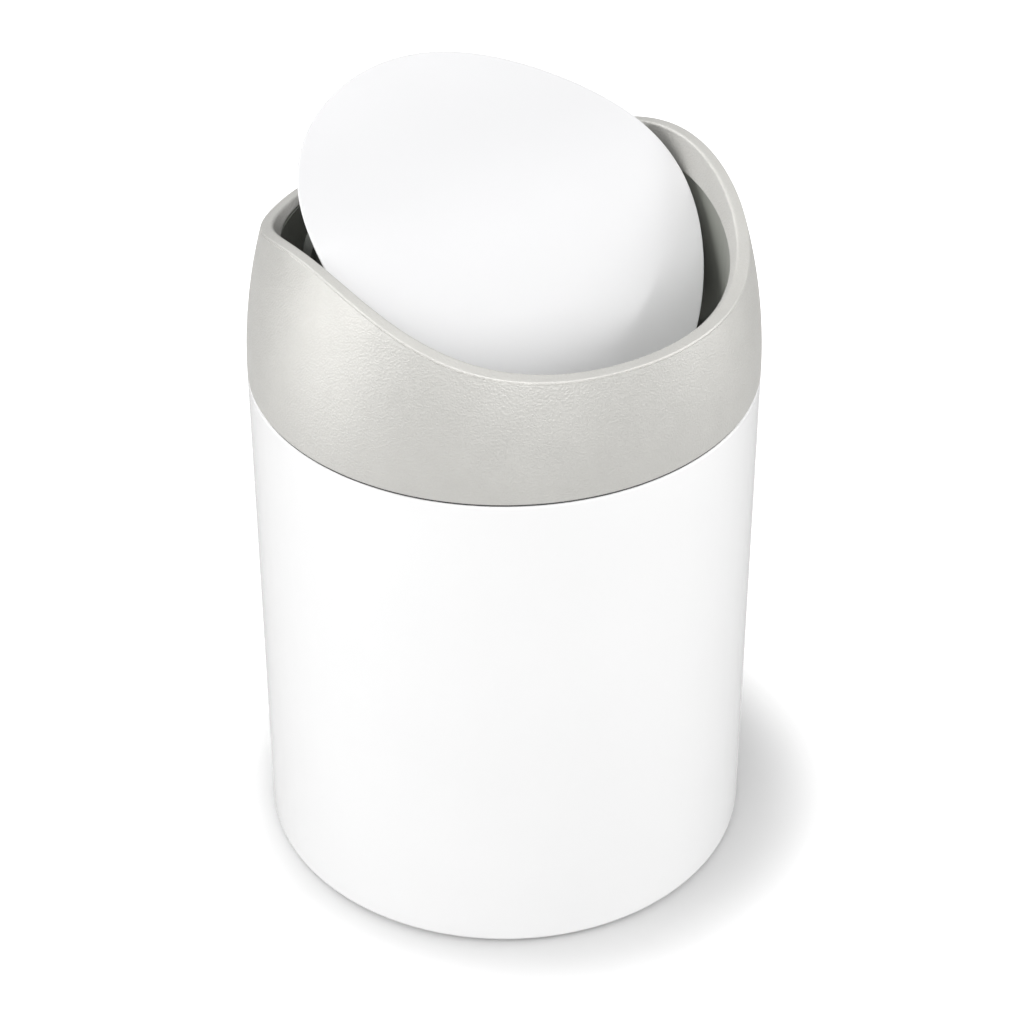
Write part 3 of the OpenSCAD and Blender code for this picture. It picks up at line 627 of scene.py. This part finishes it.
@dataclass
class Lid:
    """The swinging lid. Its sizes are in its own level frame on the swing axis, in millimetres."""

    collar: Collar = field(default_factory=Collar)
    pivot: float = 34.5
    gap_side: float = 1.0
    gap_front: float = 1.05
    sheet: float = 0.75
    painted_shade_ramp: float = 6.05
    drop: float = 10.2
    tilt: float = 34.0
    edge_round: float = 0.3
    stud_across: float = 24.0
    stud_along: float = 26.0
    stud_radius: float = 1.5
    stud_end: float = -5.6
    stud_chamfer: float = 0.4
    sides: int = 256
    rings: int = 26

    @property
    def pose(self) -> Matrix:
        """Turns the lid's level frame into the can's, in metres."""
        lift = Matrix.Translation((0, 0, (self.collar.seam + self.pivot) * MM))
        return lift @ Matrix.Rotation(math.radians(self.tilt), 4, "X")

    @property
    def half_width(self) -> float:
        """Half of the lid's width along the swing axis."""
        return self.collar.can.radius - self.collar.mouth_side_in - self.gap_side

    @property
    def half_depth(self) -> float:
        """Half of the lid's depth across the swing axis."""
        return self.collar.can.radius - self.collar.mouth_front_in - self.gap_front

    def section(self, turn: float) -> list[Vector]:
        """Lists the sheet's section from the middle of its top, round its edge, to the middle below.

        Args:
            turn: Angle round the lid's oval.

        Returns:
            The places of the section, in metres.
        """
        a, b = self.half_width, self.half_depth
        rim = Vector((a * math.cos(turn), b * math.sin(turn)))
        out = Vector((math.cos(turn) / a, math.sin(turn) / b)).normalized()
        flat = [(rim * (k / self.rings), 0.0) for k in range(self.rings)]
        edge = [(rim - out * (self.edge_round + GUARD), 0.0)]
        for k in range(5):
            bend = math.pi / 2 * k / 4
            edge.append((rim - out * self.edge_round * (1 - math.sin(bend)),
                         self.edge_round * (1 - math.cos(bend))))
        loops = flat + edge
        loops += [(place, self.sheet - depth) for place, depth in reversed(loops)]
        path = []
        for place, depth in loops:
            height = self.painted_shade_ramp - raised_cosine(place.y, self.drop, b) - depth
            path.append(self.pose @ (Vector((place.x, place.y, height)) * MM))
        return path

    def stud(self, across: float, along: float) -> bpy.types.Object:
        """Models one welded stud, cut at its top to the sheet's curve.

        Args:
            across: Its place along the swing axis.
            along: Its place across the swing axis.

        Returns:
            The stud.
        """
        def section(turn: float) -> list[Vector]:
            """Lists the stud's section from its end to the middle of its top."""
            radius, end = self.stud_radius, self.stud_end
            path: list[tuple[float, float | None]] = [
                (0.0, end), (radius - self.stud_chamfer, end), (radius, end + self.stud_chamfer),
                (radius, end + 0.6), (radius, end + 2.4), (radius, None), (0.0, None)]
            out = []
            for reach, height in path:
                x, y = across + reach * math.cos(turn), along + reach * math.sin(turn)
                if height is None:  # inside the sheet, halfway through it
                    height = self.painted_shade_ramp - self.sheet / 2 - raised_cosine(y, self.drop, self.half_depth)
                out.append(self.pose @ (Vector((x, y, height)) * MM))
            return out

        return raise_loops("lid_stud", 32, section, closed=False)

    def panel(self) -> bpy.types.Object:
        """Models the sheet with its four studs welded on."""
        sheet = raise_loops("lid_sheet", self.sides, self.section, closed=False)
        studs = [self.stud(x, y) for x in (-self.stud_across, self.stud_across)
                 for y in (-self.stud_along, self.stud_along)]
        bpy.ops.object.select_all(action="DESELECT")
        for piece in (*studs, sheet):
            piece.select_set(True)
        bpy.context.view_layer.objects.active = sheet
        bpy.ops.object.join()
        return sheet

    def build(self) -> None:
        """Models and dresses the lid and what turns with it."""
        # painted shade: the lid's white is set a little darker than the can's to take off the extra light
        # that falls on its up-facing top
        white = Enamel("white_enamel_on_lid_with_painted_shade", colour="EFEFF0", roughness=0.14).material()
        stand_for(self.panel(), "lid_panel", "lid", white)
        moulded = PlainMoulding("frame_polypropylene", colour="6A6C69").material()
        turned = CoatedSteel("turned_pin_steel", brushing=Brushing.TURNED, roughness=0.25).material()
        plain = CoatedSteel("sheared_weight_steel", colour="93959A", roughness=0.45).material()
        plated = CoatedSteel("zinc_plated_hardware", colour="C4C5C8", line_mm=0.8).material()
        dress("lid_frame", moulded)
        dress("lid_nuts", plated)
        dress("cap_screws", plated)
        for side in ("left", "right"):
            dress(f"pivot_pin_{side}", turned)
            dress(f"pin_clip_{side}", plated)
            dress(f"weight_{side}", plain)
            dress(f"weight_cap_{side}", moulded)


# ---------------------------------------------------------------- the studio


@dataclass(frozen=True)
class Softbox:
    """A soft box that stands round the can.

    Lengths are in metres. The bearing is in degrees from the camera, to its right. `aim` is the
    height of the point on the can's axis that it faces.
    """

    name: str
    bearing: float
    height: float
    away: float
    size: tuple[float, float]
    watts: float
    aim: float = 0.12

    def hang(self, heading: float) -> None:
        """Hangs it, facing the can and out of the camera's sight.

        Args:
            heading: The camera's own heading, in degrees.
        """
        turn = math.radians(270 - heading + self.bearing)
        place = Vector((self.away * math.cos(turn), self.away * math.sin(turn), self.height))
        gaze = Vector((0, 0, self.aim)) - place
        bpy.ops.object.light_add(type="AREA", location=place,
                                 rotation=gaze.to_track_quat("-Z", "Y").to_euler())
        lamp = bpy.context.object
        lamp.name = self.name
        lamp.visible_camera = False
        lamp.data.shape = "RECTANGLE"
        lamp.data.size, lamp.data.size_y = self.size
        lamp.data.energy = self.watts


SOFTBOXES = (
    Softbox("key_left", -60, 0.45, 0.8, (0.4, 0.4), 1.65),
    Softbox("low_left", -78, 0.10, 0.45, (0.3, 0.2), 0.36, aim=0.1),
    Softbox("back_left", -120, 0.55, 0.6, (0.45, 0.45), 1.2),
    Softbox("front", -12, 0.90, 0.65, (0.6, 0.6), 1.9),
    Softbox("front_low", 10, 0.50, 0.9, (0.6, 0.4), 3.2),
    Softbox("fill_right", 70, 0.45, 0.8, (0.4, 0.4), 1.6),
    Softbox("edge_right", 92, 0.30, 0.6, (0.25, 0.6), 0.8, aim=0.3),
    Softbox("top", 0, 1.1, 0.001, (0.6, 0.6), 1.5),
)


@dataclass
class Studio:
    """Camera, soft light and a pale floor. Lengths in metres, angles in degrees.

    The floor is plain paper round the can, where the shadow lies. Farther out, from the first to the
    second `painted_shade_reach` about `painted_shade_centre`, it is lifted to white by a glow that
    only the camera sees. That glow fades in about a point set off the can's axis, so the shade round
    the foot is partly the real shadow and partly painted shade.
    """

    seam: float
    distance: float = 0.7090
    camera_height_angle: float = 32.494
    pitch: float = 35.568
    heading: float = 35.0
    yaw: float = 0.1825
    lens_mm: float = 101.25
    sky: float = 0.31
    floor_size: float = 8.0
    paper: str = "D8D8D8"
    far_lift: float = 0.75
    painted_shade_centre: tuple[float, float] = (0.004, -0.0065)
    painted_shade_reach: tuple[float, float] = (0.056, 0.102)

    def camera(self) -> None:
        """Stands the camera where the photograph was taken from."""
        turn, up = math.radians(self.heading), math.radians(self.camera_height_angle)
        spot = Vector((-math.sin(turn) * math.cos(up), -math.cos(turn) * math.cos(up), math.sin(up)))
        aim, dip = math.radians(self.heading + self.yaw), math.radians(self.pitch)
        gaze = Vector((math.sin(aim) * math.cos(dip), math.cos(aim) * math.cos(dip), -math.sin(dip)))
        bpy.ops.object.camera_add(location=spot * self.distance + Vector((0, 0, self.seam)),
                                  rotation=gaze.to_track_quat("-Z", "Y").to_euler())
        camera = bpy.context.object
        camera.name = "photo_camera"
        camera.data.lens = self.lens_mm
        camera.data.sensor_width = 36.0
        bpy.context.scene.camera = camera

    def floor(self) -> None:
        """Lays a white sweep that takes the can's shadow and shows white to the camera, with painted shade
        where its glow fades out near the foot.
        """
        bpy.ops.object.select_all(action="DESELECT")
        bpy.ops.mesh.primitive_plane_add(size=self.floor_size)
        sweep = bpy.context.object
        sweep.name = "studio_floor"
        material = bpy.data.materials.new("white_paper")
        material.use_nodes = True
        tree = material.node_tree
        tree.nodes.clear()
        ray = add_node(tree, "ShaderNodeLightPath")
        paper = add_node(tree, "ShaderNodeBsdfDiffuse", {"Color": linear(self.paper)})
        place = add_node(tree, "ShaderNodeTexCoord").outputs["Object"]
        away = add_node(tree, "ShaderNodeVectorMath", {0: place, 1: (*self.painted_shade_centre, 0.0)},
                        operation="DISTANCE").outputs["Value"]
        # painted shade: near the foot the camera-only glow is left out, about a point off the can's axis,
        # which darkens and shapes the floor there
        painted_shade_ramp = add_node(tree, "ShaderNodeMapRange",
                        {"Value": away, "From Min": self.painted_shade_reach[0],
                         "From Max": self.painted_shade_reach[1], "To Min": 0.0,
                         "To Max": self.far_lift}, interpolation_type="SMOOTHSTEP").outputs["Result"]
        glow = add_node(tree, "ShaderNodeMath", {0: ray.outputs["Is Camera Ray"], 1: painted_shade_ramp},
                        operation="MULTIPLY")
        lift = add_node(tree, "ShaderNodeEmission", {"Strength": glow.outputs[0]})
        both = add_node(tree, "ShaderNodeAddShader", {0: paper.outputs[0], 1: lift.outputs[0]})
        add_node(tree, "ShaderNodeOutputMaterial", {"Surface": both.outputs[0]})
        sweep.data.materials.append(material)

    def world(self) -> None:
        """Lights the can evenly from all round, and shows white to the camera and in reflections."""
        world = bpy.data.worlds.new("studio_sky")
        bpy.context.scene.world = world
        world.use_nodes = True
        tree = world.node_tree
        tree.nodes.clear()
        ray = add_node(tree, "ShaderNodeLightPath")
        seen = add_node(tree, "ShaderNodeMath", {0: ray.outputs["Is Camera Ray"],
                                                 1: ray.outputs["Is Glossy Ray"]}, operation="MAXIMUM")
        seen = add_node(tree, "ShaderNodeMath", {0: seen.outputs[0],
                                                 1: ray.outputs["Is Transmission Ray"]},
                        operation="MAXIMUM")
        light = add_node(tree, "ShaderNodeBackground", {"Color": (1, 1, 1, 1), "Strength": self.sky})
        white = add_node(tree, "ShaderNodeBackground", {"Color": (1, 1, 1, 1), "Strength": 1.0})
        mixed = add_node(tree, "ShaderNodeMixShader", {0: seen.outputs[0], 1: light.outputs[0],
                                                       2: white.outputs[0]})
        add_node(tree, "ShaderNodeOutputWorld", {"Surface": mixed.outputs[0]})

    def build(self) -> None:
        """Sets up the whole studio."""
        self.camera()
        for softbox in SOFTBOXES:
            softbox.hang(self.heading)
        self.floor()
        self.world()
        bpy.context.scene.view_settings.view_transform = "Standard"


def main() -> None:
    """Builds the can, the collar, the lid and the studio, in that order."""
    logging.basicConfig(level=logging.INFO, format="%(message)s")
    lid = Lid()
    lid.collar.can.build()
    lid.collar.build()
    lid.build()
    Studio(seam=lid.collar.seam * MM).build()


if __name__ == "__main__":
    main()
